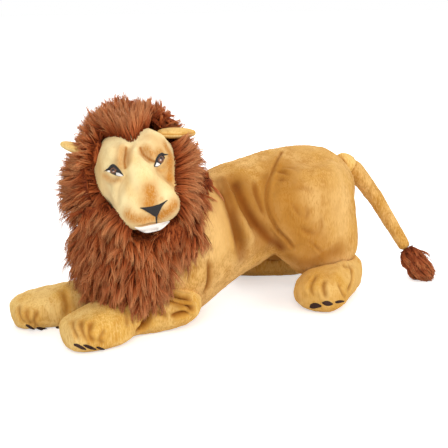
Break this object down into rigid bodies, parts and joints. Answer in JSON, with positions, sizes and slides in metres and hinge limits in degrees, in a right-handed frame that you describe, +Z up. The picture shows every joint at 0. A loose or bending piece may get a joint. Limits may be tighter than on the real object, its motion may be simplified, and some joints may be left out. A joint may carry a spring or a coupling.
{
  "type": "plush lion",
  "caption": "Plush lion lying on its chest, head turned to its left, with a furry mane, stuffed limbs and a tufted tail, all jointed at their seams.",
  "frame": {"origin": "on the floor under the chest, in the flat underside of the chest, on the mid-plane of the torso", "axes": "-X towards the forepaws, -Y towards the lion's left, where its head is turned, +Z up"},
  "size_m": [0.9211, 0.4038, 0.4392],
  "materials": {
    "golden_plush": "short pile",
    "cream_plush": "short pile",
    "mane_fur": "long pile",
    "filling": "loose fibre",
    "pad_fabric": "smooth short pile",
    "black_embroidery": "satin stitch",
    "white_patch": "smooth",
    "brown_embroidery": "satin stitch"
  },
  "bodies": {
    "ear_left": {"ear_left_back": "golden_plush", "ear_left_front": "golden_plush"},
    "ear_right": {"ear_right_back": "golden_plush", "ear_right_front": "golden_plush"},
    "head": {"eye_left_iris": "brown_embroidery", "eye_left_rim": "black_embroidery", "eye_left_white": "white_patch", "eye_right_iris": "brown_embroidery", "eye_right_rim": "black_embroidery", "eye_right_white": "white_patch", "head_filling": "filling", "head_skin": "cream_plush", "lower_lip": "white_patch", "mane_crown": "mane_fur", "mouth_line": "black_embroidery", "nose": "black_embroidery"},
    "foreleg_left": {"foreleg_left_filling": "filling", "foreleg_left_skin": "golden_plush", "foreleg_left_sole_pad": "pad_fabric", "foreleg_left_toe_pad_1": "pad_fabric", "foreleg_left_toe_pad_2": "pad_fabric", "foreleg_left_toe_pad_3": "pad_fabric"},
    "foreleg_right": {"foreleg_right_filling": "filling", "foreleg_right_skin": "golden_plush", "foreleg_right_sole_pad": "pad_fabric", "foreleg_right_toe_pad_1": "pad_fabric", "foreleg_right_toe_pad_2": "pad_fabric", "foreleg_right_toe_pad_3": "pad_fabric"},
    "torso": {"haunch_left": "golden_plush", "haunch_right": "golden_plush", "mane_collar": "mane_fur", "torso_filling": "filling", "torso_skin": "golden_plush"},
    "hind_foot_left": {"hind_foot_left_filling": "filling", "hind_foot_left_skin": "golden_plush", "hind_foot_left_sole_pad": "pad_fabric", "hind_foot_left_toe_pad_1": "pad_fabric", "hind_foot_left_toe_pad_2": "pad_fabric", "hind_foot_left_toe_pad_3": "pad_fabric"},
    "hind_foot_right": {"hind_foot_right_filling": "filling", "hind_foot_right_skin": "golden_plush", "hind_foot_right_sole_pad": "pad_fabric", "hind_foot_right_toe_pad_1": "pad_fabric", "hind_foot_right_toe_pad_2": "pad_fabric", "hind_foot_right_toe_pad_3": "pad_fabric"},
    "neck": {"neck": "golden_plush"},
    "tail": {"tail": "golden_plush", "tail_tuft": "mane_fur"},
    "tail_root": {"tail_root": "golden_plush"}
  },
  "joints": [
    {"name": "head_turn", "type": "hinge", "parent": "torso", "child": "neck", "pos_m": [-0.062, 0, 0.215], "axis": [0, 0, 1], "range_deg": [-10, 10], "stiffness_Nm_per_rad": 6, "deforming": ["mane_collar"]},
    {"name": "head_nod", "type": "hinge", "parent": "neck", "child": "head", "pos_m": [-0.062, 0, 0.215], "axis": [0.9272, -0.3746, 0], "range_deg": [-5, 5], "stiffness_Nm_per_rad": 20, "deforming": ["mane_collar"]},
    {"name": "ear_left_flop", "type": "hinge", "parent": "head", "child": "ear_left", "pos_m": [-0.02554, -0.00318, 0.37569], "axis": [-0.3746, -0.9272, 0], "range_deg": [-12, 12], "stiffness_Nm_per_rad": 0.1},
    {"name": "ear_right_flop", "type": "hinge", "parent": "head", "child": "ear_right", "pos_m": [-0.14734, 0.04603, 0.34049], "axis": [-0.3746, -0.9272, 0], "range_deg": [-12, 12], "stiffness_Nm_per_rad": 0.1},
    {"name": "foreleg_left_swing", "type": "hinge", "parent": "torso", "child": "foreleg_left", "pos_m": [-0.0235, -0.077, 0.0435], "axis": [0, 0, 1], "range_deg": [-3, 8], "stiffness_Nm_per_rad": 2, "deforming": ["mane_collar"]},
    {"name": "foreleg_right_swing", "type": "hinge", "parent": "torso", "child": "foreleg_right", "pos_m": [-0.0645, 0.077, 0.0435], "axis": [0, 0, 1], "range_deg": [-8, 3], "stiffness_Nm_per_rad": 2, "deforming": ["mane_collar"]},
    {"name": "hind_foot_left_swing", "type": "hinge", "parent": "torso", "child": "hind_foot_left", "pos_m": [0.37967, -0.07602, 0], "axis": [0, 0, 1], "range_deg": [-6, 6], "stiffness_Nm_per_rad": 2},
    {"name": "hind_foot_right_swing", "type": "hinge", "parent": "torso", "child": "hind_foot_right", "pos_m": [0.37967, 0.07602, 0], "axis": [0, 0, 1], "range_deg": [-6, 6], "stiffness_Nm_per_rad": 2},
    {"name": "tail_lift", "type": "hinge", "parent": "torso", "child": "tail_root", "pos_m": [0.446, 0, 0.266], "axis": [0, -1, 0], "range_deg": [0, 20], "stiffness_Nm_per_rad": 0.3},
    {"name": "tail_swing", "type": "hinge", "parent": "tail_root", "child": "tail", "pos_m": [0.46424, 0, 0.25424], "axis": [0, 0, 1], "range_deg": [-16, 16], "stiffness_Nm_per_rad": 0.3}
  ]
}
